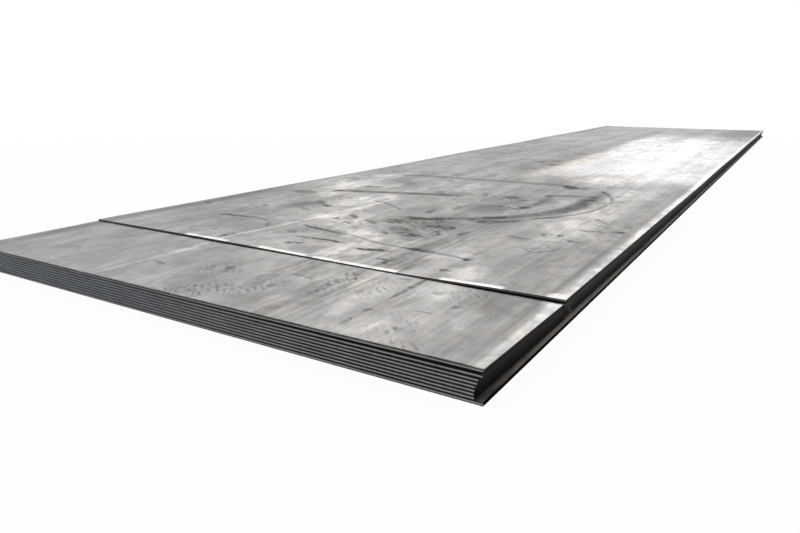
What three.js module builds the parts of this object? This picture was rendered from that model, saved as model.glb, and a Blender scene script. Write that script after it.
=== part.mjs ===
// A stack of hot-rolled steel plates. One long base plate carries two packs of eight
// plates: a short pack of offcuts at the near end, and behind it, across a narrow gap,
// a long pack of full plates. Every plate is one rolled sheet, sheared on four sides.
import * as THREE from 'three';

// Driving sizes, in millimetres. X runs across the stack, Y along it from the near
// end to the far end, and Z up.
const plateWidth = 1500;
const plateThickness = 6;
const longLength = 6000;
const shortLength = 355;
const packLayers = 8;

// Air between two plates of a pack. The long ones lie less flat than the short ones.
const shortAirGap = 0.3;
const longAirGap = 0.8;

// Sheared edge: the blade drags the top corner down into a rounded rollover, cuts a
// flat land below it, and the rest tears off and leans in towards the underside.
const rolloverRadius = 1.1;
const rolloverSteps = 3;
const tornHeight = 1.8;
const tornInset = 0.5;

// How far each plate's right edge stands in from the top long plate's, from the top
// plate down. The plates were landed one by one, so the edges don't line up.
const longSetbacks = [0, 1, 9, 11, 14, 15, 17, 16];
const shortSetbacks = [5, 6, 13, 15, 18, 19, 20, 19];
const baseSetback = 3;

// How much longer than the top short plate each one is, and how wide the groove is
// between it and the long plate beside it, both from the top plate down.
const shortExtras = [0, 0, 40, 47, 53, 57, 62, 65];
const grooveWidths = [14, 19, 35, 35, 37, 41, 44, 48];

// The short plates were cut out of square: their sides lean to the right over their
// length, and their far edge runs away from the near one over their width.
const shortSideLean = 5;
const shortFarLean = 12;

// The top two plates of each pack aren't flat. These are the heights by which the gaps
// under them open where they stand up most, from the top plate down.
const shortOpenings = [3, 1.2];
const longOpenings = [2.8, 1.8];

// The near edge of the short plates curls up to the right. Their far edge stands up
// all along, but for a small drop at its right end.
const shortCurlPower = 2;
const shortRisePower = 1.5;
const shortFarRightDrop = 0.2;

// The long plates' near edge rises from a trough to both sides, and faster to the
// right. This fades out along the plate, where long low ripples follow both sides.
const troughFromRight = 430;
const riseToRight = 350;
const riseToLeft = 650;
const endWaveFade = 450;
const rippleLength = 1700;
const rippleShare = 0.6;
const rippleEdgePower = 3;

// Mesh steps of the plates that aren't flat. The steps along a long plate crowd
// towards its near end, where the end wave is.
const flatSteps = { across: 1, along: 1, crowding: 1 };
const shortCurlSteps = { across: 16, along: 4, crowding: 1 };
const longWaveSteps = { across: 16, along: 28, crowding: 1.5 };

const millScale = { color: 0x9b9c9b, roughness: 0.42, metalness: 0.75 };
const dustyScale = { color: 0x6f665d, roughness: 0.62, metalness: 0.6 };

// The section of a sheared edge, from the underside up: how far in from the plate's
// outline each point lies, and how high above the underside.
function shearedEdge() {
  const section = [
    { inset: tornInset, height: 0 },
    { inset: 0, height: tornHeight },
  ];
  for (let step = 0; step <= rolloverSteps; step += 1) {
    const turn = (step / rolloverSteps) * (Math.PI / 2);
    section.push({
      inset: rolloverRadius * (1 - Math.cos(turn)),
      height: plateThickness - rolloverRadius * (1 - Math.sin(turn)),
    });
  }
  return section;
}

// A rise from 0 to 1 and back over one wave length, smooth everywhere.
function wave(distance, waveLength) {
  return (1 - Math.cos((2 * Math.PI * distance) / waveLength)) / 2;
}

// Where along a plate, from 0 at its near end to 1 at its far end, and where across
// it, from 0 at its left side to 1 at its right, each shape takes its height from 0.
function shortCurl(across, along) {
  const nearEdge = across ** shortCurlPower;
  const farEdge = 1 - shortFarRightDrop * nearEdge;
  return THREE.MathUtils.lerp(nearEdge, farEdge, along ** shortRisePower);
}

function longWave(across, along) {
  const fromTrough = (1 - across) * plateWidth - troughFromRight;
  const rise = fromTrough < 0 ? riseToRight : riseToLeft;
  const fromNearEnd = along * longLength;
  const endWave = wave(Math.min(Math.abs(fromTrough), rise), 2 * rise)
    * Math.exp(-((fromNearEnd / endWaveFade) ** 2));
  const ripple = wave(fromNearEnd, rippleLength)
    * Math.abs(2 * across - 1) ** rippleEdgePower;
  return endWave + ripple * rippleShare;
}

// One plate, its near left corner at the origin. Each level of a stepped box takes
// its place in the sheared edge's section, and then the plate is laid to its lift.
function plateGeometry({ length, steps, lift, sideLean = 0, farLean = 0 }) {
  const section = shearedEdge();
  const levels = section.length - 1;
  const plate = new THREE.BoxGeometry(1, 1, 1, steps.across, steps.along, levels);
  const points = plate.attributes.position;
  for (let index = 0; index < points.count; index += 1) {
    const across = points.getX(index) + 0.5;
    const along = (points.getY(index) + 0.5) ** steps.crowding;
    const { inset, height } = section[Math.round((points.getZ(index) + 0.5) * levels)];
    const x = inset + across * (plateWidth - 2 * inset) + sideLean * along;
    const y = inset + along * (length - 2 * inset) + farLean * along * (1 - across);
    points.setXYZ(index, x, y, height + lift(across, along));
  }
  plate.computeVertexNormals();
  return plate;
}

function plateMesh(name, look, geometry, rightEdge, nearEnd, underside) {
  const mesh = new THREE.Mesh(geometry, new THREE.MeshStandardMaterial(look));
  mesh.name = name;
  mesh.position.set(rightEdge - plateWidth, nearEnd, underside);
  return mesh;
}

// The value for a plate that lies this many plates below the top one. Plates below
// the last one listed follow it.
function fromTop(values, depth) {
  return values[Math.min(depth, values.length - 1)];
}

// The lift of a plate is the sum of the openings under it and under all below it.
function liftOf(openings, shape, depth) {
  const height = openings.slice(depth).reduce((sum, opening) => sum + opening, 0);
  return (across, along) => height * shape(across, along);
}

function addPack(stack, pack) {
  for (let depth = 0; depth < packLayers; depth += 1) {
    const layer = packLayers - depth;
    const flat = depth >= pack.openings.length;
    const geometry = plateGeometry({
      length: fromTop(pack.lengths, depth),
      steps: flat ? flatSteps : pack.steps,
      lift: liftOf(pack.openings, pack.shape, depth),
      sideLean: pack.sideLean,
      farLean: pack.farLean,
    });
    const rightEdge = plateWidth - fromTop(pack.setbacks, depth);
    const nearEnd = fromTop(pack.nearEnds, depth);
    const underside = layer * (plateThickness + pack.airGap);
    stack.add(plateMesh(`${pack.name}_${layer}`, millScale, geometry, rightEdge, nearEnd, underside));
  }
}

function addBasePlate(stack, length) {
  const geometry = plateGeometry({ length, steps: flatSteps, lift: () => 0 });
  stack.add(plateMesh('base_plate', dustyScale, geometry, plateWidth - baseSetback, 0, 0));
}

// Each long plate starts across the groove from the short plate at its own height. The
// base plate reaches to the far end of the one that starts last.
function buildStack() {
  const shortLengths = shortExtras.map((extra) => shortLength + extra);
  const longNearEnds = shortLengths.map((length, depth) => length + grooveWidths[depth]);
  const stack = new THREE.Group();
  addBasePlate(stack, Math.max(...longNearEnds) + longLength);
  addPack(stack, {
    name: 'short_plate',
    lengths: shortLengths,
    nearEnds: [0],
    airGap: shortAirGap,
    setbacks: shortSetbacks,
    openings: shortOpenings,
    shape: shortCurl,
    steps: shortCurlSteps,
    sideLean: shortSideLean,
    farLean: shortFarLean,
  });
  addPack(stack, {
    name: 'long_plate',
    lengths: [longLength],
    nearEnds: longNearEnds,
    airGap: longAirGap,
    setbacks: longSetbacks,
    openings: longOpenings,
    shape: longWave,
    steps: longWaveSteps,
  });
  return stack;
}

// The origin is at the bottom centre of the whole stack.
function centred(stack) {
  const box = new THREE.Box3().setFromObject(stack);
  const middle = box.getCenter(new THREE.Vector3());
  stack.position.set(-middle.x, -middle.y, -box.min.z);
  return stack;
}

export default centred(buildStack());
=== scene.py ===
import math

import bpy
import numpy as np
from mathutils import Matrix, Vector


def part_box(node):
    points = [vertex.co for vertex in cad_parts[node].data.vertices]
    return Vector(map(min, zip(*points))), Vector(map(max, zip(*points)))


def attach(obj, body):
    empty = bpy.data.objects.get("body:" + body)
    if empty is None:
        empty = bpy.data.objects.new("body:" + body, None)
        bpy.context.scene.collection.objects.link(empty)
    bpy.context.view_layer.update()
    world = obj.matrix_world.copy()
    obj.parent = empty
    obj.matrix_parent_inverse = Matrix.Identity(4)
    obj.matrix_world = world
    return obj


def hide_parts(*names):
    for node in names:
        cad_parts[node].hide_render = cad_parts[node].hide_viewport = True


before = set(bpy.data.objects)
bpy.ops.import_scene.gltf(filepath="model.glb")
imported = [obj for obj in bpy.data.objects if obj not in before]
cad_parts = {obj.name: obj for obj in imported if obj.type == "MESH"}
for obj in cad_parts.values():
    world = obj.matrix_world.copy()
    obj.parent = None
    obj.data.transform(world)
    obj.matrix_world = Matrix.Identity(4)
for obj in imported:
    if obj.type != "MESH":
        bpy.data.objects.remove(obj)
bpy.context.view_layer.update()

# ---------------------------------------------------------------------------
# Base plate: one long hot-rolled steel plate that carries both packs. Its two
# ends were cut on a guillotine, its long sides are as they left the mill, and
# yard dust has settled on the narrow lip that shows along the packs.

MM = 0.001
PLATE_BOTTOM, PLATE_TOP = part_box("base_plate")
THICKNESS = PLATE_TOP.z - PLATE_BOTTOM.z
NEAR_END = PLATE_BOTTOM.y
RIGHT_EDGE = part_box("long_plate_8")[1].x

# A sheared edge, from the underside up: the torn part, the flat land that the
# blade burnished, and the round rollover that it drew down on the top corner.
TORN_HEIGHT = 1.8 * MM
TORN_INSET = 0.5 * MM
LAND_INSET = 0.03 * MM
LAND_TOP = 3.3 * MM
ROLLOVER = 1.1 * MM
ROLLOVER_TURNS = (0, 30, 60, 90)
# The rollover's polish falls away up the curve, so its top turns near-black: painted shade, the dark line
# along the rounded corner.
ROLLOVER_POLISH_AND_SHADE = 0.45

# The tear line wanders up and down by so much, in long and short waves that each
# have their share and length. Pits roughen the cut: their depths and their length.
TEAR_WANDER = 0.45 * MM
TEAR_WAVES = ((0.6, 17 * MM), (0.4, 5 * MM))
TORN_PITS = 0.22 * MM
LAND_PITS = 0.05 * MM
PIT_LENGTH = 4 * MM

# What a face of the mesh shows, how many levels at the top of a long side belong
# to its shoulder, and the angle from which an edge is drawn sharp.
CUT_END, MILL_SIDE, ROLLED_FACE = 0, 1, 2
SHOULDER_LEVELS = 2
SHARP_ANGLE = math.radians(35)


def edge_levels():
    """The section's levels: height, distance in from the outline, depth of the pits, and from 0 to 1 how much
    of the tear line's wander each follows and how burnished it is. Up the rollover the burnish falls away,
    which paints the dark line along the top corner as painted shade."""
    levels = [
        (0.0, TORN_INSET, TORN_PITS, 0.0, 0.0),
        (TORN_HEIGHT / 2, 0.6 * TORN_INSET, TORN_PITS, 0.5, 0.05),
        (TORN_HEIGHT, LAND_INSET, LAND_PITS, 1.0, 0.5),
        (LAND_TOP, 0.0, LAND_PITS, 0.0, 1.0),
    ]
    for turn in ROLLOVER_TURNS:
        rise, fall = math.sin(math.radians(turn)), math.cos(math.radians(turn))
        height, inset = THICKNESS - ROLLOVER * (1 - rise), ROLLOVER * (1 - fall)
        levels.append((height, inset, LAND_PITS, 0.0, ROLLOVER_POLISH_AND_SHADE * fall**6))
    return levels


def wander(places, wavelength, random):
    """Smooth random numbers from -1 to 1 along these places, which are in metres."""
    knots = random.uniform(-1, 1, int(places[-1] / wavelength) + 3)
    return np.interp(places / wavelength, np.arange(len(knots)), knots)


def outline(node):
    """The plate's corners in plan: near left, near right, far right, far left."""
    points = np.array([vertex.co[:2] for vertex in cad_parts[node].data.vertices])
    return [points[np.argmax(points @ np.array(way))] for way in ((-1, -1), (1, -1), (1, 1), (-1, 1))]


def in_plan(corners, across, along):
    """Places across and along a plate, from 0 to 1, as X and Y in metres."""
    near_left, near_right, far_right, far_left = corners
    across, along = across[..., None], along[..., None]
    near = near_left + across * (near_right - near_left)
    far = far_left + across * (far_right - far_left)
    return near + along * (far - near)


def even(step, length):
    """Mesh lines from 0 to 1, a step apart on this length."""
    return np.linspace(0, 1, max(2, round(length / step)) + 1)


def size_of(node):
    """The size of a CAD node's box."""
    low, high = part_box(node)
    return high - low


def flat(across, along):
    """No lift, and no squeeze, anywhere on the plate."""
    return np.zeros(across.shape)


def rim_places(across, along):
    """The places round a plate's rim, from its near left corner to the right, and the way inwards at each."""
    columns, rows = len(across) - 1, len(along) - 1
    rim_across = np.concatenate([across[:-1], np.ones(rows), across[:0:-1], np.zeros(rows)])
    rim_along = np.concatenate([np.zeros(columns), along[:-1], np.ones(columns), along[:0:-1]])
    inward = np.repeat([(0.0, 1.0), (-1.0, 0.0), (0.0, -1.0), (1.0, 0.0)], (columns, rows, columns, rows), 0)
    inward[[0, columns, columns + rows, 2 * columns + rows]] = (1, 1), (-1, 1), (-1, -1), (1, -1)
    return rim_across, rim_along, inward


def edge_quads(rings, columns, rows, shoulder):
    """The quads of the four edges, between rings of points from the underside up, and what each shows."""
    after = np.roll(rings, -1, axis=1)
    quads = np.stack([rings[:-1], after[:-1], after[1:], rings[1:]], -1).reshape(-1, 4)
    kinds = []
    for kind in [MILL_SIDE] * (len(rings) - 1 - SHOULDER_LEVELS) + [shoulder] * SHOULDER_LEVELS:
        kinds += np.repeat([CUT_END, kind] * 2, (columns, rows) * 2).tolist()
    return quads.tolist(), kinds


def face_quads(ring, first, columns, rows):
    """The quads of a face that this ring borders. Its inner points are numbered row by row from first."""
    grid = np.empty((rows + 1, columns + 1), int)
    grid[0, :-1], grid[:-1, -1] = ring[:columns], ring[columns:columns + rows]
    grid[-1, :0:-1], grid[:0:-1, 0] = np.split(ring[columns + rows:], [columns])
    grid[1:-1, 1:-1] = first + np.arange((rows - 1) * (columns - 1)).reshape(rows - 1, columns - 1)
    return np.stack([grid[:-1, :-1], grid[:-1, 1:], grid[1:, 1:], grid[1:, :-1]], -1).reshape(-1, 4)


def add_object(name, data):
    """A new object of the scene with this mesh, lamp or camera."""
    added = bpy.data.objects.new(name, data)
    bpy.context.scene.collection.objects.link(added)
    return added


def rolled_plate(name, node, across, along, lift=flat, squeeze=flat, seed=1):
    """A sheared plate in the place of a CAD node. across and along are the mesh's lines, from 0 to 1. lift
    raises the plate off its flat place, and squeeze is the share of its thickness that a place has lost."""
    random = np.random.default_rng(seed)
    corners, underside = outline(node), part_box(node)[0].z
    rim_across, rim_along, inward = rim_places(across, along)
    rim = in_plan(corners, rim_across, rim_along)
    places = np.cumsum(np.linalg.norm(np.diff(rim, axis=0, append=rim[:1]), axis=1))
    tear = sum(share * wander(places, length, random) for share, length in TEAR_WAVES)
    points, polish = [], []
    for height, inset, pits, torn, shine in edge_levels():
        inset = inset + pits * (1 + wander(places, PIT_LENGTH, random)) / 2
        rise = height + tear * TEAR_WANDER * torn
        rise = rise * (1 - squeeze(rim_across, rim_along)) + lift(rim_across, rim_along)
        points.append(np.column_stack([rim + inward * inset[:, None], underside + rise]))
        polish.append(np.full(len(rim), shine))

    rings = np.arange(len(points) * len(rim)).reshape(-1, len(rim))
    lines = len(across) - 1, len(along) - 1
    if lift is flat:
        faces, kinds = edge_quads(rings, *lines, MILL_SIDE)
        faces += [rings[-1].tolist(), rings[0][::-1].tolist()]
        kinds += [ROLLED_FACE] * 2
    else:
        faces, kinds = edge_quads(rings, *lines, ROLLED_FACE)
        inner_across, inner_along = np.meshgrid(across[1:-1], along[1:-1])
        plan = in_plan(corners, inner_across, inner_along).reshape(-1, 2)
        for ring, height in ((rings[0], 0.0), (rings[-1], THICKNESS)):
            quads = face_quads(ring, sum(map(len, points)), *lines)
            rise = height * (1 - squeeze(inner_across, inner_along)) + lift(inner_across, inner_along)
            points.append(np.column_stack([plan, underside + rise.ravel()]))
            polish.append(np.zeros(len(plan)))
            faces += (quads if height else quads[:, ::-1]).tolist()
            kinds += [ROLLED_FACE] * len(quads)

    mesh = bpy.data.meshes.new(name)
    mesh.from_pydata(np.concatenate(points).tolist(), [], faces)
    mesh.polygons.foreach_set("material_index", kinds)
    mesh.polygons.foreach_set("use_smooth", [len(face) == 4 for face in faces])
    mesh.attributes.new("polish", "FLOAT", "POINT").data.foreach_set("value", np.concatenate(polish))
    mesh.set_sharp_from_angle(angle=SHARP_ANGLE)
    return add_object(name, mesh)


class Value:
    """One output of a shader node. Sums and products of values add their Math nodes."""

    def __init__(self, nodes, socket):
        self.nodes, self.socket = nodes, socket

    def __add__(self, other):
        return self.nodes.math("ADD", self, other)

    def __sub__(self, other):
        return self.nodes.math("SUBTRACT", self, other)

    def __rsub__(self, other):
        return self.nodes.math("SUBTRACT", other, self)

    def __mul__(self, other):
        return self.nodes.math("MULTIPLY", self, other)

    def __abs__(self):
        return self.nodes.math("ABSOLUTE", self)

    __radd__, __rmul__ = __add__, __mul__


class Nodes:
    """The node tree of a material or of the world."""

    def __init__(self, tree):
        self.tree = tree

    def node(self, kind, settings=(), inputs=(), output=0):
        """Adds a node. Its settings are set first, because they change which sockets it has."""
        node = self.tree.nodes.new(kind)
        for setting, value in dict(settings).items():
            *group, name = setting.split(".")
            setattr(getattr(node, group[0]) if group else node, name, value)
        for socket, value in dict(inputs).items():
            self.feed(node.inputs[socket], value)
        return Value(self, node.outputs[output])

    def feed(self, socket, value):
        if isinstance(value, Value):
            self.tree.links.new(value.socket, socket)
        else:
            socket.default_value = value

    def math(self, operation, *values):
        return self.node("ShaderNodeMath", {"operation": operation}, dict(enumerate(values)))

    def vector(self, operation, *values):
        output = "Value" if operation == "LENGTH" else "Vector"
        return self.node("ShaderNodeVectorMath", {"operation": operation}, dict(enumerate(values)), output)

    def split(self, vector):
        return (self.node("ShaderNodeSeparateXYZ", {}, {0: vector}, axis) for axis in "XYZ")

    def fade(self, value, start, end):
        """0 where the value is at its start or before, 1 at its end or past it, and smooth between."""
        settings = {"interpolation_type": "SMOOTHSTEP", "clamp": False}
        inputs = {"Value": value, "From Min": start, "From Max": end}
        if start > end:
            inputs = {"Value": value, "From Min": end, "From Max": start, "To Min": 1.0, "To Max": 0.0}
        return self.node("ShaderNodeMapRange", settings, inputs)

    def band(self, value, low, high, soft):
        """1 where the value is between low and high, and 0 outside, with soft ends."""
        return self.fade(value, low - soft, low + soft) * self.fade(value, high + soft, high - soft)

    def mix(self, share, first, second, way="MIX"):
        """A share of the second colour laid over the first."""
        settings = {"data_type": "RGBA", "blend_type": way}
        first, second = (c if isinstance(c, Value) else (*c, 1) for c in (first, second))
        return self.node("ShaderNodeMix", settings, {0: share, 6: first, 7: second}, 2)


class Finish(Nodes):
    """The surface of a piece, as a node material that is built up step by step. Places on it are in metres
    from the right edge of the stack and from its near end."""

    def __init__(self, name, metal, gloss=0.5):
        self.material = bpy.data.materials.new(name)
        self.material.use_nodes = True
        super().__init__(self.material.node_tree)
        self.shader = self.tree.nodes["Principled BSDF"]
        self.shader.inputs["Metallic"].default_value = metal
        self.shader.inputs["Specular IOR Level"].default_value = gloss
        place = self.node("ShaderNodeTexCoord", output="Object")
        self.place = self.vector("SUBTRACT", place, (RIGHT_EDGE, NEAR_END, 0))
        self.x, self.y, self.z = self.split(self.place)

    def noise(self, size, detail=3, stretch=(1, 1, 1), distortion=0.0):
        """Clouds from 0 to 1 whose largest forms have this size in metres, made longer by stretch."""
        scale = tuple(1 / (size * way) for way in stretch)
        inputs = {"Vector": self.vector("MULTIPLY", self.place, scale), "Scale": 1.0}
        inputs |= {"Detail": detail, "Distortion": distortion}
        return self.node("ShaderNodeTexNoise", {}, inputs)

    def coat(self, colour, roughness, height, depth):
        """Joins colour, roughness and relief to the surface. depth is the relief's, in metres."""
        self.feed(self.shader.inputs["Base Color"], colour)
        self.feed(self.shader.inputs["Roughness"], roughness)
        bump = self.node("ShaderNodeBump", {}, {"Strength": 1.0, "Distance": depth, "Height": height})
        self.feed(self.shader.inputs["Normal"], bump)
        return self.material

    def blend(self, share, first, second):
        """Shows the first shader with a share of the second mixed in."""
        shown = self.node("ShaderNodeMixShader", {}, {0: share, 1: first, 2: second})
        self.feed(self.tree.nodes["Material Output"].inputs["Surface"], shown)
        return self.material


# Colours of the cut ends and of what sticks to them, and from where to where along X and Z the dirt sets in.
# The torn steel is near-black partly as painted shade, for the dark gaps between the plates' edges.
TORN_STEEL_AND_GAP_SHADE = (0.012, 0.011, 0.010)
BURNISHED_STEEL = (0.270, 0.268, 0.266)
CAKED_DIRT = (0.100, 0.105, 0.112)
DIRT_FILM = (0.62, 0.66, 0.71)
STAIN_FILM = (0.62, 0.60, 0.57)
DIRT_ACROSS = (-0.2, -0.95)
DIRT_DOWN = (56 * MM, 50 * MM)


def sheared_end(name, torn, land):
    """The guillotine's cut: burnished land over a torn strip, in these colours, scored across the thickness.
    Its left side is dirtier."""
    finish = Finish(name, metal=0.0, gloss=0.15)
    polish = finish.node("ShaderNodeAttribute", {"attribute_name": "polish"}, output="Fac")
    scoring = finish.noise(2.2 * MM, 2, (1, 1, 14))
    patches = finish.noise(60 * MM, 3, (1, 1, 0.2))
    shine = finish.fade(polish + 0.35 * (scoring - 0.5), 0.30, 0.85)
    dirt = finish.fade(finish.x, *DIRT_ACROSS)
    caked = dirt * finish.fade(finish.z, *DIRT_DOWN)
    colour = finish.mix(shine, finish.mix(caked, torn, CAKED_DIRT), land)
    colour = finish.mix(finish.fade(patches, 0.35, 0.75) * 0.5, colour, STAIN_FILM, "MULTIPLY")
    colour = finish.mix(dirt, colour, DIRT_FILM, "MULTIPLY")
    finish.feed(finish.shader.inputs["Metallic"], 0.75 * shine)
    roughness = 0.72 - 0.3 * shine + 0.15 * (patches - 0.5)
    return finish.coat(colour, roughness, scoring, 0.05 * MM)


# From where to where up the stack the long sides turn paler, out of painted shade on the lower plates.
SIDE_SHADE_HEIGHTS = (4 * MM, 64 * MM)


def mill_side(name, dark, pale, bloom, gloss=0.08):
    """The long side as rolled: near-black scale with brown bloom, drawn out along the plate, its darkness
    partly painted shade. It is paler towards the top of the stack, partly from dust, and darker on the lower
    plates as painted shade."""
    finish = Finish(name, 0.0, gloss)
    drawn = finish.noise(14 * MM, 4, (1, 9, 0.25))
    blooms = finish.noise(120 * MM, 3, (1, 2, 0.3))
    height = finish.fade(finish.z, *SIDE_SHADE_HEIGHTS)
    colour = finish.mix(finish.fade(drawn, 0.25, 0.85) * (0.15 + 0.85 * height), dark, pale)
    colour = finish.mix(finish.fade(blooms, 0.45, 0.75) * 0.6, colour, bloom)
    return finish.coat(colour, 0.75 + 0.2 * (drawn - 0.5), drawn, 0.15 * MM)


# Colours of the base plate's top face; where the lip beside the packs darkens at its inner and outer side,
# partly dirt and partly painted shade; and where the dust thickens, at the end of the short pack.
DARK_SCALE_AND_SHADE = (0.012, 0.011, 0.010)
YARD_DUST = (0.285, 0.252, 0.226)
PALE_GRIT = (0.3, 0.28, 0.25)
LIP_SHADE_INNER = (-19 * MM, -9 * MM)
LIP_SHADE_OUTER = (-4 * MM, -7 * MM)
DUST_ALONG = (0.28, 0.42)


def dusty_scale():
    """Mill scale under yard dust: brownish grey in patches, and dark close to the packs and at the very edge,
    partly dirt and partly painted shade. Past the long pack's far end that shade ends and the dust lies open."""
    finish = Finish("dusty_scale", metal=0.1, gloss=0.2)
    dust = finish.noise(70 * MM, 5, (1, 3, 1), 0.4)
    grit = finish.noise(3 * MM, 3)
    dust = finish.fade(dust + 0.16 * finish.fade(finish.y, *DUST_ALONG), 0.32, 0.60)
    # Darker close to the packs and at the very edge: painted shade, partly dirt.
    unshaded = 0.15 + 0.85 * finish.fade(finish.x, *LIP_SHADE_INNER) * finish.fade(finish.x, *LIP_SHADE_OUTER)
    pack_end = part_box("long_plate_1")[1].y - NEAR_END
    unshaded = finish.math("MAXIMUM", unshaded, finish.fade(finish.y, pack_end, pack_end + 15 * MM))
    colour = finish.mix(dust * unshaded, DARK_SCALE_AND_SHADE, YARD_DUST)
    colour = finish.mix(finish.fade(grit, 0.5, 0.8) * 0.3 * unshaded, colour, PALE_GRIT)
    return finish.coat(colour, 0.75 + 0.2 * (grit - 0.5), grit + dust, 0.1 * MM)


# Colours of the scale between two plates, dark partly as painted shade of the gaps where it shows, and where
# it lies open.
COVERED_DARK_AND_SHADE = (0.010, 0.010, 0.011)
COVERED_PALE_AND_SHADE = (0.036, 0.035, 0.034)
WEATHERED_GREY = (0.310, 0.298, 0.284)


def covered_scale():
    """Blue-black mill scale that another plate has kept covered, darkened further as painted shade for the
    gaps between the plates where it shows. It is grey where it juts out past the topmost plate's far end."""
    finish = Finish("covered_scale", metal=0.2, gloss=0.2)
    clouds = finish.noise(60 * MM, 5, (1, 4, 1), 0.4)
    grain = finish.noise(5 * MM, 3, (1, 3, 1))
    colour = finish.mix(finish.fade(clouds, 0.3, 0.7), COVERED_DARK_AND_SHADE, COVERED_PALE_AND_SHADE)
    top_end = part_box("long_plate_8")[1].y - NEAR_END
    open_air = finish.fade(finish.y, top_end, top_end + 12 * MM)
    weathered = open_air * (0.55 + 0.45 * finish.fade(clouds, 0.3, 0.6))
    colour = finish.mix(weathered, colour, WEATHERED_GREY)
    return finish.coat(colour, 0.6 + 0.2 * (grain - 0.5), grain, 0.1 * MM)


def finish_plate(plate, node, end, side, face):
    """Gives the plate its materials and sets it in the place of its CAD node."""
    for material in (end, side, face):
        plate.data.materials.append(material)
    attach(plate, "root")
    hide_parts(node)


# The mesh: how far apart its lines are across and along the plate, how much they
# crowd towards the near end, and the seed of the tear line.
BASE_STEPS = (4 * MM, 6 * MM)
BASE_CROWDING = 1.2
BASE_SEED = 20

clean_end = sheared_end("sheared_end", TORN_STEEL_AND_GAP_SHADE, BURNISHED_STEEL)
covered_face = covered_scale()
# The base's long sides are near-black and without gloss: painted shadow, a dark line along the foot of the
# stack.
base_shadow_black = {"dark": (0.001, 0.001, 0.001), "pale": (0.004, 0.004, 0.004), "bloom": (0.003, 0.002, 0.002)}
base_side = mill_side("base_side", **base_shadow_black, gloss=0.0)
size = size_of("base_plate")
lines = even(BASE_STEPS[0], size.x), even(BASE_STEPS[1], size.y) ** BASE_CROWDING
base = rolled_plate("base_sheet", "base_plate", *lines, seed=BASE_SEED)
finish_plate(base, "base_plate", clean_end, base_side, dusty_scale())

# ---------------------------------------------------------------------------
# Short pack: eight offcuts of the same plate at the near end. The two on top
# have curled up at their near right corner, and the topmost one shows its
# whole face of mill scale, with rolling streaks and yard marks.

# Layers count from the bottom. The top two curl up towards the right, and along
# their far edge but for a small drop at its right end.
PACK_LAYERS = 8
WAVED_LAYERS = (7, 8)
CURL_POWER = 2
FAR_RISE_POWER = 1.5
FAR_RIGHT_DROP = 0.2
SHORT_STEPS = (4 * MM, 10 * MM)

# Marks that rolls and guides left along the whole plate: how far in from the
# right edge, how wide, how soft and how much lighter or darker than the scale.
ROLL_LINES = (
    (1464, 44, 22, -0.3), (512, 9, 4, 0.2), (496, 5, 3, -0.12), (460, 22, 9, -0.14), (444, 5, 3, 0.1),
    (433, 4, 2, -0.08), (418, 7, 3, 0.27), (408, 5, 3, -0.18), (396, 5, 3, 0.12), (388, 5, 3, -0.13),
    (305, 9, 4, -0.18), (84, 12, 8, -0.1), (60, 8, 5, 0.12), (42, 12, 7, -0.3),
)
# They fade out over these two stretches, far along the plate and near its end.
LINES_FAR = (1.3, 0.5)
LINES_NEAR = (0.0, 0.22)

# The bright band along the right edge, a painted highlight: where it sets in across and along the plate, and
# how much lighter it is. Its very rim is darker.
EDGE_HIGHLIGHT_ACROSS = (-33 * MM, -15 * MM)
EDGE_HIGHLIGHT_ALONG = (0.0, 0.36)
EDGE_HIGHLIGHT_CHANGE = 1.15
RIM_ACROSS = (-5 * MM, -1 * MM)
RIM_CHANGE = -0.20

# Where the lines beside that band part from those further in.
EDGE_LINES = (-150 * MM, -90 * MM)

# Patches and strokes on the topmost short plate, as ovals of lighter and darker scale: X and Y of the centre
# and half the width and length, in millimetres, turn in degrees, and how much lighter or darker than plain
# scale. The broad light patches are partly painted sheen.
SHORT_AREAS = (
    (-365, 160, 50, 110, 0, 0.28), (-430, 290, 28, 150, 0, 0.18), (-255, 290, 60, 110, 0, 0.34),
    (-265, 60, 60, 100, 0, 0.3), (-650, 270, 70, 80, 0, 0.2), (-590, 330, 90, 60, -30, 0.16),
    (-860, 255, 90, 70, 0, 0.14), (-970, 300, 20, 120, 0, 0.18), (-1040, 300, 70, 90, 0, -0.12),
    (-700, 140, 160, 60, 0, -0.1), (-560, 60, 80, 60, 0, -0.12), (-120, 300, 60, 90, 0, -0.22),
    (-95, 230, 30, 200, 0, -0.1), (-150, 60, 60, 70, 0, -0.1), (-860, 230, 130, 130, 0, -0.22),
    (-700, 70, 120, 80, 0, -0.18), (-550, 50, 70, 50, 0, -0.14), (-400, 290, 60, 70, 0, 0.16),
    (-550, 190, 70, 80, 0, 0.16), (-100, 170, 60, 90, 0, 0.2),
)
SHORT_STROKES = (
    (-305, 290, 10, 110, 0, -0.4), (-305, 130, 9, 18, 0, -0.35), (-305, 65, 9, 26, 0, -0.4),
    (-480, 160, 30, 60, 0, -0.2), (-470, 30, 24, 90, 0, -0.24), (-565, 240, 34, 9, -8, -0.4),
    (-538, 236, 12, 9, 0, -0.45), (-170, 230, 9, 18, -15, -0.55), (-240, 286, 16, 14, 20, -0.6),
    (-445, 278, 12, 16, 0, -0.55), (-462, 310, 20, 12, -30, -0.35), (-345, 335, 16, 14, 0, -0.35),
    (-925, 149, 24, 9, -15, -0.6), (-740, 190, 12, 34, 25, -0.4), (-205, 76, 18, 8, -35, -0.5),
    (-205, 172, 34, 4, 0, -0.35), (-568, 150, 12, 10, 0, -0.42), (-550, 164, 12, 10, 0, -0.36),
    # The light spot at (-20, 345) is painted highlight, where the bright band along the right edge ends at
    # the groove.
    (-20, 345, 30, 22, 0, 0.5), (-900, 240, 14, 10, 0, -0.28), (-790, 185, 12, 26, 0, -0.2),
    (-480, 300, 10, 22, 30, -0.3),
)

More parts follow.
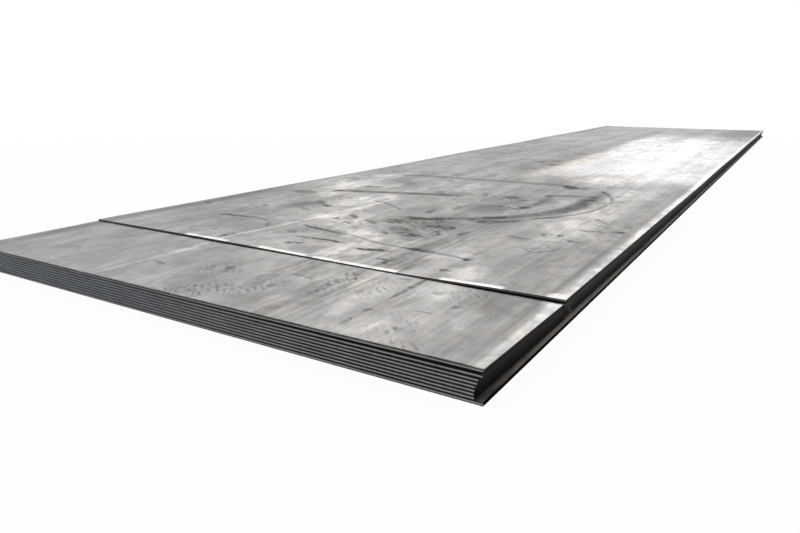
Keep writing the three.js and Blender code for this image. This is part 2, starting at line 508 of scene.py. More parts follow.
# Clusters of small dints and of wavy dents on it, in the same form, but with how
# strong the dents are at the end.
SHORT_DINTS = (
    (-765, 200, 60, 60, 0, 0.4), (-590, 190, 55, 80, 0, 0.6), (-105, 100, 30, 60, 0, 0.8),
    (-665, 62, 100, 40, 35, 0.6), (-458, 250, 28, 110, 0, 0.5),
)
SHORT_RIPPLES = (
    (-665, 62, 150, 56, 35, 1.3), (-458, 250, 44, 120, 0, 1.0), (-365, 245, 54, 84, 0, 1.3),
    (-170, 300, 62, 66, 0, 1.4), (-190, 100, 36, 36, 0, 1.0), (-155, 20, 54, 26, 0, 1.1),
    (-230, 50, 48, 50, 0, 1.0), (-560, 160, 60, 50, 0, 0.7), (-760, 190, 90, 70, 10, 0.6),
)

# Drag marks that bend: width, softness, how much lighter or darker, and points
# along the middle.
SHORT_TRAILS = (
    (16, 7, 0.34, [(-985, 40), (-978, 150), (-972, 260), (-974, 345)]),
)

# Its near rim is painted dark: painted shade where it bends down into the rollover.
NEAR_RIM_SHADE = (7 * MM, 3 * MM)
NEAR_RIM_SHADE_CHANGE = -0.85

# The part of an oval's radius over which it fades out. Areas that overlap level off
# towards a limit, and show by so much of it.
AREA_RIM = 0.75
STROKE_RIM = 0.5
AREA_LIMIT = 0.75
AREA_GAIN = 1.1

# The degree of a drag mark's bends, how dark a dint is, and how much lighter the rim of a wavy dent is, as
# painted highlight.
TRAIL_DEGREE = 4
DINT_CHANGE = -0.6
RIPPLE_HIGHLIGHT = 0.16

# Plain mill scale: the share of its metal that shows through the dark film, and how
# much of that the darkest marks take away.
SHORT_SHARE = 0.365
DARKEST_MARK = -0.93
SCALE_METAL = (0.90, 0.90, 0.90)
SCALE_FILM = (0.040, 0.037, 0.034)
COOL_TINT = (0.992, 1.0, 1.004)
WARM_TINT = (1.07, 1.0, 0.92)
RUST_TINT = (1.06, 0.945, 0.82)


class MillScale(Finish):
    """Grey mill scale: metal that shows here and there through a thin, dark film. shade is how much of it
    shows, with 1 for plain scale, and marks is what marks add to that."""

    def __init__(self, name, plain_share):
        super().__init__(name, metal=0.9)
        self.plain_share = plain_share
        self.clouds = self.noise(230 * MM, 4, (1, 1.5, 1), 0.5)
        self.mottle = self.fade(self.noise(55 * MM, 3, (1, 1.6, 1), 1.2), 0.3, 0.7)
        self.grain = self.noise(5 * MM, 3, (1, 3, 1))
        broad = self.noise(90 * MM, 4, (1, 30, 1))
        fine = self.noise(9 * MM, 3, (1, 50, 1))
        self.shade = 1 + 0.8 * (broad - 0.5) + 0.6 * (fine - 0.5) + 0.85 * (self.clouds - 0.5)
        self.shade = self.shade + 0.26 * (self.mottle - 0.5) + 0.26 * (self.grain - 0.5)
        self.marks, self.shine, self.blush = 0.0, 0.0, 0.0
        self.ragged, self.cloudy = self.warped(18 * MM, 8 * MM), self.warped(120 * MM, 80 * MM)
        self.bent_x, self.bent_y, _ = self.split(self.warped(60 * MM, 9 * MM))

    def warped(self, size, reach):
        """The place on the plate, moved about in clouds of this size by up to this reach."""
        inputs = {"Vector": self.place, "Scale": 1 / size, "Detail": 4.0}
        clouds = self.node("ShaderNodeTexNoise", {}, inputs, "Color")
        moves = self.vector("MULTIPLY_ADD", clouds, (2 * reach, 2 * reach, 0), (-reach, -reach, 0))
        return self.vector("MULTIPLY", self.vector("ADD", self.place, moves), (1, 1, 0))

    def mark(self, mask, change):
        """Makes the scale lighter or darker where the mask is 1."""
        self.marks = self.math("MULTIPLY_ADD", mask, change, self.marks)

    def ovals(self, ovals, place, rim=STROKE_RIM, total=0.0):
        """The sum of ovals with soft rims, each of its own amount inside and 0 outside."""
        for x, y, half_width, half_length, turn, amount in ovals:
            settings = {"gradient_type": "SPHERICAL", "texture_mapping.vector_type": "TEXTURE"}
            settings["texture_mapping.translation"] = (x * MM, y * MM, 0)
            settings["texture_mapping.rotation"] = (0, 0, math.radians(turn))
            settings["texture_mapping.scale"] = (half_width * MM, half_length * MM, 1)
            inside = self.node("ShaderNodeTexGradient", settings, {"Vector": place}, "Fac")
            total = self.math("MULTIPLY_ADD", self.fade(inside, 0.0, rim), amount, total)
        return total

    def stripe(self, aside, width, soft):
        """1 on a line of this width in millimetres and 0 beside it. aside is the distance from its middle."""
        return self.fade(abs(aside), (width / 2 + soft) * MM, max(width / 2 - soft, 0) * MM)

    def trail(self, width, soft, points):
        """1 along a smooth drag mark through these points, in millimetres. They run on in one direction."""
        points = np.array(points) * MM
        way = int(abs(points[-1][0] - points[0][0]) < abs(points[-1][1] - points[0][1]))
        run, side = points[:, way], points[:, 1 - way]
        along, aside = (self.bent_x, self.bent_y) if way == 0 else (self.bent_y, self.bent_x)
        middle, *bends = np.polyfit(run, side, min(len(points) - 1, TRAIL_DEGREE)).tolist()
        for bend in bends:
            middle = self.math("MULTIPLY_ADD", middle, along, bend)
        mask = self.stripe(aside - middle, width, soft)
        return mask * self.band(along, float(run.min()), float(run.max()), 10 * MM)

    def roll_lines(self, lines, edge_shift):
        """Lines along the plate, which sway a little and come and go, and the bright band along the right
        edge, a painted highlight. Both are fainter at the near end. edge_shift moves the band and the lines
        beside it outwards."""
        drift = self.x + 6 * MM * (self.noise(600 * MM, 2, (1, 1.5, 1)) - 0.5)
        drift = drift - edge_shift * self.fade(drift, *EDGE_LINES)
        strength = 0.7 + 0.8 * (self.noise(60 * MM, 3, (1, 6, 1)) - 0.3)
        line_strength = strength * self.fade(self.y, *LINES_FAR) + 0.2
        line_strength = line_strength * (0.4 + 0.6 * self.fade(self.y, *LINES_NEAR))
        for inset, width, soft, change in lines:
            line = self.stripe(drift + inset * MM, width, soft)
            self.mark(line * line_strength, change)
        edge = self.fade(drift, *EDGE_HIGHLIGHT_ACROSS) * (0.48 + 0.52 * self.fade(self.y, *EDGE_HIGHLIGHT_ALONG))
        self.mark(edge * (0.75 + 0.25 * strength), EDGE_HIGHLIGHT_CHANGE)
        self.mark(self.fade(drift, *RIM_ACROSS), RIM_CHANGE)

    def areas(self, areas):
        """Broad areas with cloudy outlines, their light tones partly painted sheen. Where they overlap, they
        build up less and less, and where they are light, they have a faint blush of rust."""
        shares = [(*oval, change / AREA_LIMIT) for *oval, change in areas]
        total = self.math("TANH", self.ovals(shares, self.cloudy, AREA_RIM))
        self.mark(total, AREA_GAIN * AREA_LIMIT)
        self.blush = 0.3 * self.fade(total, 0.0, 0.8)

    def strokes(self, strokes):
        """Spots and strokes with ragged outlines, worn thin in places."""
        total = self.ovals(strokes, self.ragged)
        wear_and_reflection = self.fade(self.noise(16 * MM, 3, (1.6, 1, 1)), 0.38, 0.62)
        self.mark(total, 0.55 + 0.75 * wear_and_reflection)

    def trails(self, trails):
        for width, soft, change, points in trails:
            self.mark(self.trail(width, soft, points), change)

    def dints(self, clusters):
        """Small dark dints in clusters, and a few strewn over the rest of the plate."""
        strewn = 0.5 * self.fade(self.noise(160 * MM, 3), 0.6, 0.75)
        field = self.ovals(clusters, self.ragged, total=strewn)
        dint = self.fade(self.noise(17 * MM, 2, (1.5, 1, 1), 0.8), 0.52, 0.64)
        self.mark(self.math("MINIMUM", field, 1.0) * dint, DINT_CHANGE)

    def ripples(self, clusters, pitch, strength):
        """Clusters of short slanting dents, a pitch apart along the plate, painted in colour alone: each a
        dark hollow of painted shade with a lighter rim of painted highlight.
        """
        field = self.ovals(clusters, self.ragged)
        settings = {"wave_type": "BANDS", "bands_direction": "DIAGONAL"}
        inputs = {"Vector": self.place, "Scale": 0.2 * math.pi / pitch, "Distortion": 6.0}
        inputs |= {"Detail": 2.0, "Detail Scale": 1.2}
        wave = self.node("ShaderNodeTexWave", settings, inputs, "Fac")
        broken = self.fade(self.noise(0.75 * pitch, 2, (1.2, 1, 1)), 0.43, 0.60)
        dent_shade = RIPPLE_HIGHLIGHT - self.fade(wave, 0.40, 0.90)
        self.mark(self.math("MINIMUM", field, 1.0) * broken * dent_shade, strength)

    def done(self):
        """The finished material: metal that shows through the film by the share that shade and marks leave
        bare. Its warm tint comes in clouds, fades out along the plate and is weaker at the near left."""
        marks = self.marks * (1.0 + 0.6 * (self.mottle - 0.5))
        share = self.plain_share * self.shade * (1 + self.math("MAXIMUM", marks, DARKEST_MARK))
        hue = self.fade(self.noise(60 * MM, 5, (1, 1.8, 1)) + 0.12 * (self.mottle - 0.5), 0.34, 0.74)
        warm = self.fade(self.y, 1.9, 1.2) * (0.25 + 0.75 * self.fade(self.x + 0.8 * self.y, -0.75, -0.35))
        tint = self.mix(hue * warm, COOL_TINT, WARM_TINT)
        tint = self.mix(self.blush, tint, RUST_TINT)
        colour = self.mix(1.0, SCALE_METAL, tint, "MULTIPLY")
        roughness = 0.3 + 0.12 * (self.mottle - 0.5) + 0.06 * (self.grain - 0.5) - self.shine
        height = self.grain * 0.15 + self.mottle * 0.2 + self.clouds * 0.4
        self.coat(colour, roughness, height, 0.1 * MM)
        film = self.node("ShaderNodeBsdfPrincipled", {}, {"Base Color": (*SCALE_FILM, 1), "Roughness": 0.7})
        film.socket.node.inputs["Specular IOR Level"].default_value = 0.15
        return self.blend(self.math("MINIMUM", share, 1.0), film, Value(self, self.shader.outputs[0]))


def curl(node):
    """The lift of a top plate of the short pack: at the right of its near edge, and along its far edge."""
    low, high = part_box(node)
    height = high.z - low.z - THICKNESS

    def lift(across, along):
        near_edge = across**CURL_POWER
        far_edge = 1 - FAR_RIGHT_DROP * near_edge
        return height * (near_edge + (far_edge - near_edge) * along**FAR_RISE_POWER)

    return lift


# The short pack's long sides are near-black: dark scale darkened further as painted shade, for sides that lie
# in shadow under the overhanging top plates.
short_shade_black = {"dark": (0.002, 0.002, 0.002), "pale": (0.013, 0.013, 0.014), "bloom": (0.014, 0.010, 0.007)}
short_side = mill_side("short_side", **short_shade_black)
short_scale = MillScale("short_plate_scale", SHORT_SHARE)
short_scale.roll_lines(ROLL_LINES, edge_shift=0.0)
short_scale.areas(SHORT_AREAS)
short_scale.strokes(SHORT_STROKES)
short_scale.trails(SHORT_TRAILS)
short_scale.dints(SHORT_DINTS)
short_scale.ripples(SHORT_RIPPLES, pitch=22 * MM, strength=0.42)
short_scale.mark(short_scale.fade(short_scale.y, *NEAR_RIM_SHADE), NEAR_RIM_SHADE_CHANGE)
short_face = short_scale.done()
for layer in range(1, PACK_LAYERS + 1):
    node = f"short_plate_{layer}"
    size = size_of(node)
    lift = curl(node) if layer in WAVED_LAYERS else flat
    lines = even(SHORT_STEPS[0], size.x), even(SHORT_STEPS[1], size.y)
    plate = rolled_plate(f"short_sheet_{layer}", node, *lines, lift, seed=layer)
    face = short_face if layer == PACK_LAYERS else covered_face
    finish_plate(plate, node, clean_end, short_side, face)

# ---------------------------------------------------------------------------
# Long pack: eight full plates behind the short ones. The two on top wave a little at their near end and
# ripple along their sides. The near edge of the topmost is drawn down by the shear, and strips of it are
# painted bright: painted highlight where the drawn-down edge catches the light.

# The near end's trough, in from the right, how far away it has risen on each side,
# and over what length it fades out. The ripples follow both sides.
TROUGH = 0.43
RISE_TO_RIGHT = 0.35
RISE_TO_LEFT = 0.65
END_WAVE_FADE = 0.45
RIPPLE = 1.7
RIPPLE_SHARE = 0.6
RIPPLE_EDGE_POWER = 3

# How wide the drawn edge is, and the share of the thickness that it loses.
DRAWN_WIDTH = 13 * MM
DRAWN_SHARE = 0.08

# The mesh's lines along a long plate crowd towards its near end, and the drawn
# edge has some of its own. The seeds count on from this one.
LONG_STEP = 12 * MM
LONG_LINES = 251
LONG_CROWDING = 1.4
DRAWN_LINES = 5
LONG_SEED = 30

# Where the near edge of the topmost plate is painted bright as painted highlight, in millimetres in from the
# right, and how far onto the plate.
HIGHLIT_STRIPS = ((932, 1100), (664, 820), (396, 640), (134, 282), (-5, 42))
HIGHLIGHT_WIDTH = 18 * MM
HIGHLIGHT_CHANGE = 1.6

# Patches, strokes, drag marks, dints and wavy dents on it, in the same form as on the short plate. Its broad
# light patches are partly painted sheen.
LONG_AREAS = (
    (-1285, 1395, 105, 190, 6, 1.15), (-1285, 1690, 90, 260, 0, 0.42), (-1200, 1200, 100, 80, 20, 0.7),
    (-1030, 1085, 95, 150, 20, 0.75), (-1000, 1250, 90, 90, 0, 0.3), (-930, 960, 40, 110, 0, 0.6),
    (-940, 820, 60, 100, 0, 0.62), (-820, 740, 140, 90, -30, 0.52), (-680, 650, 130, 80, -35, 0.56),
    (-585, 480, 105, 150, 0, 0.66), (-250, 430, 75, 110, 0, 0.56), (-350, 560, 90, 130, 0, 0.26),
    (-200, 1150, 130, 420, 0, 0.5), (-180, 1700, 110, 500, 0, 0.44), (-365, 1480, 40, 170, 8, 0.26),
    (-255, 1440, 30, 150, 6, 0.24), (-800, 1560, 60, 300, 10, 0.26), (-900, 1240, 110, 90, 0, 0.16),
    (-1250, 650, 220, 260, 0, -0.12), (-1460, 1000, 90, 340, 0, -0.3), (-1240, 1520, 60, 110, 0, 0.34),
    (-1130, 940, 110, 110, -30, -0.4), (-990, 560, 120, 120, 0, -0.12), (-600, 900, 190, 170, 0, -0.3),
    (-700, 1060, 90, 110, -10, -0.3), (-560, 1200, 120, 140, 0, -0.26), (-420, 960, 90, 150, 0, -0.26),
    (-600, 1400, 170, 160, 0, -0.16), (-1080, 1560, 130, 180, 20, -0.26), (-150, 560, 130, 180, 0, -0.1),
    (-450, 640, 40, 120, 0, -0.26), (-390, 2050, 170, 200, 0, 0.4), (-860, 2050, 170, 160, 0, 0.1),
    (-620, 2060, 90, 160, 0, -0.12), (-1430, 1500, 90, 220, 0, 0.26), (-1160, 1490, 100, 150, 10, 0.36),
    (-400, 1500, 80, 150, 0, -0.22), (-850, 1250, 110, 130, 0, -0.14), (-1010, 1090, 80, 130, 10, 0.16),
    (-400, 1050, 80, 90, 0, -0.16), (-1150, 900, 90, 90, 0, -0.14), (-850, 880, 80, 80, -20, 0.28),
    (-260, 900, 80, 110, 0, -0.22), (-100, 900, 70, 200, 0, 0.18), (-1440, 620, 120, 150, 0, -0.14),
    (-1040, 560, 180, 130, 0, -0.2), (-850, 600, 80, 80, 0, -0.24), (-700, 440, 80, 60, 0, -0.28),
    (-545, 440, 60, 80, 0, 0.26), (-400, 450, 55, 90, 0, -0.22), (-100, 600, 70, 130, 0, 0.14),
    (-240, 1800, 90, 160, 0, 0.2),
)
LONG_STROKES = (
    # The light spot at (-24, 388) is painted highlight, where the bright band along the right edge starts at
    # the groove.
    (-24, 388, 24, 16, 0, 0.9), (-640, 700, 34, 10, -40, -0.5), (-690, 790, 40, 12, 20, -0.2),
    (-1190, 1130, 32, 60, 0, 0.3), (-225, 1560, 9, 130, 14, 0.55), (-203, 1400, 9, 130, -4, 0.45),
    (-780, 800, 60, 40, 0, 0.25), (-1050, 955, 34, 22, -30, -0.75), (-1110, 1000, 70, 22, -38, -0.4),
    (-1085, 1110, 14, 60, 0, -0.5), (-1240, 842, 34, 13, -45, -0.36), (-1070, 862, 60, 14, -28, -0.34),
    (-1440, 762, 24, 18, -20, -0.34), (-856, 846, 44, 15, -42, -0.7), (-922, 862, 22, 9, -45, -0.5),
    (-760, 805, 46, 16, -30, -0.66), (-880, 785, 30, 10, -8, -0.7), (-822, 760, 22, 13, -20, -0.7),
    (-955, 690, 42, 17, 25, -0.5), (-1000, 600, 46, 8, -58, -0.34), (-1180, 642, 60, 12, 4, -0.2),
    (-870, 560, 26, 18, -10, -0.5), (-800, 632, 110, 9, -6, -0.48), (-775, 528, 64, 14, 4, -0.66),
    (-700, 534, 54, 12, 0, -0.7), (-776, 460, 38, 15, 26, -0.7), (-1082, 465, 18, 16, 0, -0.34),
    (-992, 428, 22, 42, 0, -0.5), (-960, 440, 14, 30, 0, -0.3), (-700, 850, 60, 44, 0, -0.4),
    (-600, 742, 110, 46, -32, -0.5), (-530, 690, 60, 60, -30, -0.32), (-514, 770, 20, 80, 0, -0.36),
    (-392, 410, 12, 50, 0, -0.24), (-512, 852, 24, 36, 10, -0.7), (-560, 850, 44, 28, 20, -0.4),
    (-440, 805, 15, 44, 0, -0.7), (-470, 1000, 70, 44, 0, -0.4), (-690, 932, 26, 22, 0, -0.6),
    (-552, 514, 66, 19, 12, -1.3), (-480, 450, 28, 7, 0, -0.6), (-464, 425, 8, 30, 0, -0.4),
    (-290, 838, 56, 13, -12, -0.52), (-240, 915, 14, 18, 0, -0.34), (-195, 925, 13, 30, 10, -0.48),
    (-140, 865, 30, 18, -25, -0.45), (-195, 838, 40, 8, 6, -0.26), (-140, 1022, 44, 18, 8, -0.55),
    (-70, 1045, 40, 12, 30, -0.4), (-57, 1050, 14, 24, 0, -0.45), (-57, 1135, 16, 28, 0, -0.45),
    (-165, 1200, 12, 28, 20, -0.85), (-135, 1160, 8, 40, 40, -0.35), (-305, 440, 18, 14, 0, -0.6),
    (-302, 556, 18, 22, 0, -0.5), (-450, 580, 50, 26, 5, -0.42), (-455, 480, 22, 90, 0, -0.1),
    (-680, 1480, 20, 62, 20, -0.42), (-560, 1468, 44, 32, 12, -0.6), (-508, 1425, 28, 34, 0, -0.34),
    (-550, 1250, 56, 60, 20, -0.14), (-445, 1290, 30, 36, 0, -0.5), (-690, 1060, 18, 60, 12, -0.26),
    (-640, 1160, 18, 60, 14, -0.24), (-1168, 1412, 50, 26, 5, -0.75), (-1138, 1425, 20, 20, -40, -0.4),
    (-1380, 1572, 38, 26, 0, -0.45), (-1392, 1440, 20, 26, 30, -0.4), (-1320, 1155, 70, 46, 0, -0.5),
    (-1085, 1585, 30, 60, 20, -0.18), (-1170, 1545, 40, 20, -25, -0.24), (-940, 1520, 18, 30, 25, -0.26),
    (-450, 1832, 40, 70, 28, -0.95), (-395, 1838, 34, 50, 0, -0.45), (-1035, 1945, 46, 34, 10, -0.34),
    (-968, 1742, 26, 36, 30, -0.36), (-1220, 1250, 26, 22, 0, -0.6), (-800, 1440, 110, 60, 8, -0.4),
    (-210, 1925, 40, 34, 0, -0.24), (-310, 1930, 24, 60, 0, -0.2), (-220, 1690, 14, 30, 0, -0.4),
    (-890, 2690, 34, 60, 0, -0.44), (-830, 2770, 46, 50, 0, -0.4), (-775, 2590, 60, 60, 0, -0.36),
    (-830, 2360, 60, 40, 10, -0.3), (-825, 3255, 60, 50, 10, -0.3), (-1275, 3110, 120, 240, 10, -0.18),
)
LONG_TRAILS = (
    (15, 8, 0.5, [(-982, 372), (-966, 500), (-952, 640), (-940, 850), (-930, 1000), (-925, 1200)]),
    (42, 14, -0.46, [(-700, 912), (-650, 932), (-600, 962), (-550, 1000), (-490, 1040), (-430, 1100)]),
    (68, 20, -0.62, [(-482, 1050), (-394, 1140), (-334, 1235), (-303, 1340), (-290, 1450), (-300, 1570)]),
    (44, 18, -0.4, [(-298, 1550), (-282, 1650), (-300, 1790)]),
    (17, 7, -0.62, [(-350, 1115), (-280, 1205), (-237, 1300), (-216, 1400), (-211, 1500), (-225, 1590),
                    (-255, 1690), (-310, 1795)]),
    (34, 14, -0.3, [(-420, 1010), (-350, 1100), (-300, 1180)]),
    (50, 22, -0.44, [(-470, 1575), (-380, 1615), (-285, 1630)]),
    (30, 14, -0.36, [(-460, 1240), (-435, 1330), (-432, 1450), (-455, 1590)]),
    (50, 18, -0.64, [(-1250, 1238), (-1100, 1294), (-1000, 1328), (-900, 1358), (-740, 1400)]),
    (46, 22, -0.48, [(-1250, 1790), (-1100, 1832), (-950, 1845), (-800, 1852), (-600, 1868), (-470, 1860)]),
    (12, 6, -0.55, [(-975, 1135), (-890, 1100), (-790, 1030)]),
    (16, 6, -0.5, [(-1250, 636), (-1100, 652), (-1040, 642)]),
    (13, 5, -0.56, [(-905, 655), (-850, 640), (-780, 622), (-700, 620)]),
    (14, 5, -0.6, [(-700, 622), (-650, 602), (-560, 582), (-510, 572), (-430, 575), (-380, 565),
                   (-295, 550)]),
    (14, 5, -0.5, [(-585, 815), (-545, 800), (-505, 735)]),
    (13, 6, -0.3, [(-455, 1900), (-458, 2100), (-445, 2400)]),
    (8, 3, -0.4, [(-232, 745), (-208, 708), (-165, 722), (-148, 778)]),
    (7, 3, -0.34, [(-218, 765), (-196, 730), (-172, 772)]),
    (10, 5, -0.26, [(-165, 790), (-150, 750), (-185, 705)]),
)
LONG_DINTS = (
    (-800, 775, 120, 100, -35, 1.0), (-1140, 1130, 70, 60, 0, 0.5), (-620, 900, 160, 90, 0, 0.6),
    (-400, 1250, 160, 200, 0, 0.4), (-190, 900, 90, 120, 0, 0.5), (-560, 1350, 260, 220, 0, 0.5),
    (-430, 480, 60, 90, 0, 0.5), (-850, 2600, 180, 320, 0, 0.6),
)
LONG_RIPPLES = (
    (-590, 830, 150, 80, -20, 0.8), (-830, 785, 120, 80, -35, 0.9), (-200, 745, 60, 70, 0, 0.7),
    (-200, 920, 56, 50, 0, 0.9), (-135, 870, 50, 60, 0, 0.8), (-850, 640, 120, 50, 0, 0.5),
    (-560, 1400, 200, 150, 0, 0.2), (-150, 1040, 80, 40, 0, 0.6), (-1080, 1080, 80, 90, 0, 0.5),
)

# The stretch along the right side that is smooth and painted bright, as painted reflection beside the far
# panel's real one: where it sets in across the plate, where it starts and ends along it, and how much lighter
# it is. The far end of the plate is painted darker, as painted shade against its bright grazing reflection.
REFLECTION_ACROSS = (-815 * MM, -715 * MM)
REFLECTION_START = (1.83, 2.47)
REFLECTION_END = (5.55, 4.55)
REFLECTION_CHANGE = 0.62
FAR_SHADE = (4.2, 5.8)
FAR_SHADE_CHANGE = -0.22

# The blush of rust beside it, across and along the plate: from, to and softness.
LEFT_RUST_ACROSS, LEFT_RUST_ALONG = (-0.79, -0.66, 0.03), (2.0, 3.4, 0.3)
NEAR_RUST_ACROSS, NEAR_RUST_ALONG = (-0.79, -0.25, 0.05), (2.0, 2.35, 0.15)


def wave(distance, length):
    """A wave from 0 at the start, up to 1 and back over each length."""
    return (1 - np.cos(2 * np.pi * distance / length)) / 2


def long_wave(node):
    """The lift of a top plate of the long pack: a trough across its near end and ripples along its sides."""
    low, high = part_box(node)
    height, width, length = high.z - low.z - THICKNESS, high.x - low.x, high.y - low.y

    def lift(across, along):
        from_trough = (1 - across) * width - TROUGH
        rise = np.where(from_trough < 0, RISE_TO_RIGHT, RISE_TO_LEFT)
        fading = np.exp(-((along * length / END_WAVE_FADE) ** 2))
        end = wave(np.minimum(np.abs(from_trough), rise), 2 * rise) * fading
        ripple = wave(along * length, RIPPLE) * np.abs(2 * across - 1) ** RIPPLE_EDGE_POWER
        return height * np.minimum(end + RIPPLE_SHARE * ripple, 1)

    return lift


def drawn_edge(across, along):
    """The near edge of the topmost plate is drawn down over its last few millimetres."""
    from_end = along * (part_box("long_plate_8")[1].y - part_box("long_plate_8")[0].y)
    return DRAWN_SHARE * np.clip(1 - from_end / DRAWN_WIDTH, 0, 1) ** 2


def far_reflection(scale):
    """The smooth, bright stretch near the right edge: smoother scale that reflects the far panel, brightened
    further by painted reflection, with painted shade towards the far end. Its ends are ragged, and a blush of
    rust follows its left and near sides."""
    fray = scale.noise(180 * MM, 5, (1, 2, 1), 0.6) - 0.5
    side = scale.fade(scale.x + 0.12 * fray, *REFLECTION_ACROSS)
    ragged_y = scale.y + 0.9 * fray
    wear_and_reflection = side * (scale.fade(ragged_y, *REFLECTION_START) * scale.fade(ragged_y, *REFLECTION_END))
    # Painted reflection brightens the smooth stretch, and painted shade darkens the far end.
    scale.mark(wear_and_reflection, REFLECTION_CHANGE)
    scale.mark(scale.fade(scale.y, *FAR_SHADE), FAR_SHADE_CHANGE)
    scale.shine = scale.shine + 0.14 * wear_and_reflection
    rusty_y = scale.y + 0.6 * fray
    left = scale.band(scale.x + 0.1 * fray, *LEFT_RUST_ACROSS) * scale.band(rusty_y, *LEFT_RUST_ALONG)
    near = scale.band(scale.x, *NEAR_RUST_ACROSS) * scale.band(rusty_y, *NEAR_RUST_ALONG)
    scale.blush = scale.math("MAXIMUM", scale.blush, scale.math("MAXIMUM", left, 0.7 * near))


def edge_highlights(scale):
    """Bright strips along the near edge: painted highlight where the drawn-down edge catches the light, with
    smoother scale there.
    """
    strip = 0.0
    for low, high in HIGHLIT_STRIPS:
        strip = scale.band(scale.x, -high * MM, -low * MM, 4 * MM) + strip
    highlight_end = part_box("long_plate_8")[0].y - NEAR_END + HIGHLIGHT_WIDTH
    strip = strip * scale.fade(scale.y, highlight_end, highlight_end - 3 * MM)
    scale.mark(strip, HIGHLIGHT_CHANGE)
    scale.shine = scale.shine + 0.1 * strip


# Plain mill scale of the long plates, and the pale cut ends of the lower ones: painted light, for ends that
# lie in the groove's shade.
LONG_SHARE = 0.40
LIT_TORN_STEEL = (0.250, 0.238, 0.222)
LIT_LAND_STEEL = (0.360, 0.348, 0.332)

lit_groove_end = sheared_end("lit_groove_end", LIT_TORN_STEEL, LIT_LAND_STEEL)
# The long pack's long sides: dark scale, near-black low down as painted shade and paler at the top.
long_shade_black = {"dark": (0.004, 0.004, 0.004), "pale": (0.060, 0.060, 0.062), "bloom": (0.035, 0.027, 0.021)}
long_side = mill_side("long_side", **long_shade_black)
long_scale = MillScale("long_plate_scale", LONG_SHARE)
long_scale.roll_lines(ROLL_LINES, edge_shift=5 * MM)
long_scale.areas(LONG_AREAS)
long_scale.strokes(LONG_STROKES)
long_scale.trails(LONG_TRAILS)
long_scale.dints(LONG_DINTS)
long_scale.ripples(LONG_RIPPLES, pitch=40 * MM, strength=0.48)
far_reflection(long_scale)
edge_highlights(long_scale)
long_face = long_scale.done()
for layer in range(1, PACK_LAYERS + 1):
    node = f"long_plate_{layer}"
    size = size_of(node)
    across, along = even(LONG_STEP, size.x), np.linspace(0, 1, LONG_LINES) ** LONG_CROWDING
    lift, squeeze, end, face = flat, flat, lit_groove_end, covered_face
    if layer in WAVED_LAYERS:
        drawn_lines = np.arange(DRAWN_LINES + 1) * DRAWN_WIDTH / DRAWN_LINES / size.y
        along = np.union1d(along[along > DRAWN_WIDTH / size.y], drawn_lines)
        lift, end = long_wave(node), clean_end
    if layer == PACK_LAYERS:
        squeeze, face = drawn_edge, long_face
    plate = rolled_plate(f"long_sheet_{layer}", node, across, along, lift, squeeze, LONG_SEED + layer)
    finish_plate(plate, node, end, long_side, face)

# ---------------------------------------------------------------------------
# Stage: a pale floor that runs out into white, even white surroundings, a
# softbox behind on the left, a low panel beyond the far end, and the camera.

# How far the floor runs, how far it lies below the stack, and from where to where
# around the stack it turns wholly white.
FLOOR_REACH = 60.0
FLOOR_DROP = 0.5 * MM
FLOOR_WHITE = (3.5, 9.0)
FLOOR_GREYS = (0.91, 0.91, 0.91), (0.93, 0.93, 0.93)


def pale_floor():
    """Pale and matt. Most of what is seen of it directly is plain white, and all of it far from the stack."""
    finish = Finish("pale_floor", metal=0.0, gloss=0.0)
    finish.shader.inputs["Roughness"].default_value = 0.95
    clouds = finish.noise(1.5, 2)
    finish.feed(finish.shader.inputs["Base Color"], finish.mix(clouds, *FLOOR_GREYS))
    far = finish.fade(finish.vector("LENGTH", finish.place), *FLOOR_WHITE)
    seen = finish.node("ShaderNodeLightPath", output="Is Camera Ray")
    seen = finish.math("MAXIMUM", seen, finish.node("ShaderNodeLightPath", output="Is Glossy Ray"))
    lit, white = Value(finish, finish.shader.outputs[0]), finish.node("ShaderNodeEmission")
    return finish.blend(seen * (0.95 + 0.05 * far), lit, white)


floor_mesh = bpy.data.meshes.new("floor")
floor_corners = [(FLOOR_REACH * x, FLOOR_REACH * y, 0) for x, y in ((-1, -1), (1, -1), (1, 1), (-1, 1))]
floor_mesh.from_pydata(floor_corners, [], [(0, 1, 2, 3)])
floor = add_object("floor", floor_mesh)
floor.location.z = -FLOOR_DROP
floor_mesh.materials.append(pale_floor())

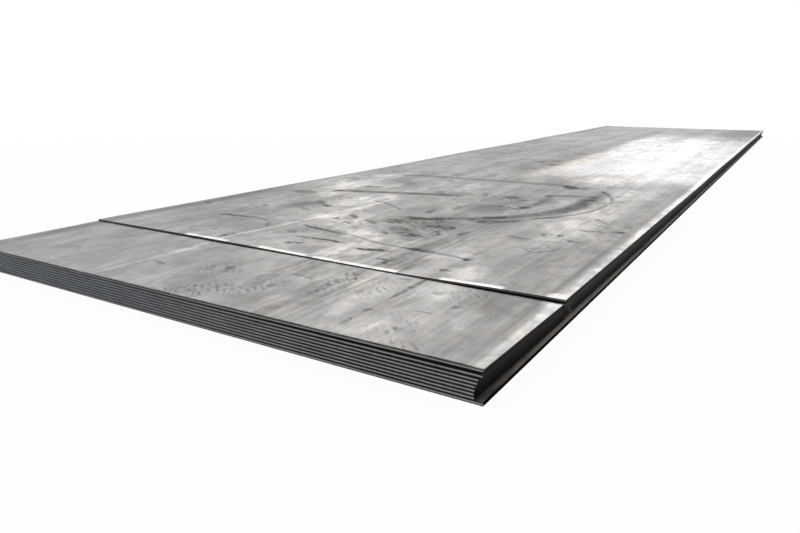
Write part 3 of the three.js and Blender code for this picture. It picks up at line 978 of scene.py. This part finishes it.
# How strongly the surroundings light the stack. The camera sees them white, and in
# mirror reflections they turn from this strength at the horizon to white above it.
WORLD_STRENGTH = 0.8
HORIZON_STRENGTH = 0.8
SKY_WHITE = (0.03, 0.2)
world = bpy.data.worlds.new("studio")
bpy.context.scene.world = world
world.use_nodes = True
sky = Nodes(world.node_tree)
_, _, height = sky.split(sky.node("ShaderNodeTexCoord", output="Generated"))
mirrored = HORIZON_STRENGTH + (1 - HORIZON_STRENGTH) * sky.fade(height, *SKY_WHITE)
glossy = sky.node("ShaderNodeLightPath", output="Is Glossy Ray")
direct = sky.node("ShaderNodeLightPath", output="Is Camera Ray")
strength = WORLD_STRENGTH + glossy * (mirrored - WORLD_STRENGTH) + direct * (1 - WORLD_STRENGTH)
sky.feed(sky.tree.nodes["Background"].inputs["Color"], (1, 1, 1, 1))
sky.feed(sky.tree.nodes["Background"].inputs["Strength"], strength)

# The lamps, which the camera doesn't see: place and aim, both from the near right
# corner of the stack, then size and strength.
LAMPS = {
    "sky_softbox": ((-4.4, 5.2, 4.9), (-0.6, 0.4, 0.0), (5.0, 3.0), 0.8),
    "far_panel": ((-1.82, 11.6, 0.86), (-1.82, 11.6, 0.0), (2.25, 7.5), 0.95),
}
near_right = Vector((RIGHT_EDGE, NEAR_END, PLATE_TOP.z))
for name, (place, aim, size, strength) in LAMPS.items():
    lamp = bpy.data.lights.new(name, "AREA")
    lamp.shape = "RECTANGLE"
    lamp.size, lamp.size_y = size
    lamp.energy = strength * size[0] * size[1] * math.pi
    softbox = add_object(name, lamp)
    softbox.location = near_right + Vector(place)
    facing = near_right + Vector(aim) - softbox.location
    softbox.rotation_euler = facing.to_track_quat("-Z", "Y").to_euler()
    softbox.visible_camera = False

# The camera: lens and sensor in millimetres, how far it looks down and to the left,
# and its place from the near right corner of the stack.
LENS = 28.75
SENSOR = 36
CLIP_START, CLIP_END = 0.01, 500
PITCH = math.radians(15.668)
YAW = math.radians(31.951)
CAMERA_RIGHT = 0.3511
CAMERA_BEFORE = 0.8053
CAMERA_HEIGHT = 0.4643
camera = add_object("camera", bpy.data.cameras.new("camera"))
camera.location = (RIGHT_EDGE + CAMERA_RIGHT, NEAR_END - CAMERA_BEFORE, CAMERA_HEIGHT)
camera.rotation_euler = (math.pi / 2 - PITCH, 0, YAW)
camera.data.lens = LENS
camera.data.sensor_width = SENSOR
camera.data.clip_start = CLIP_START
camera.data.clip_end = CLIP_END
bpy.context.scene.camera = camera
bpy.context.scene.view_settings.view_transform = "Standard"
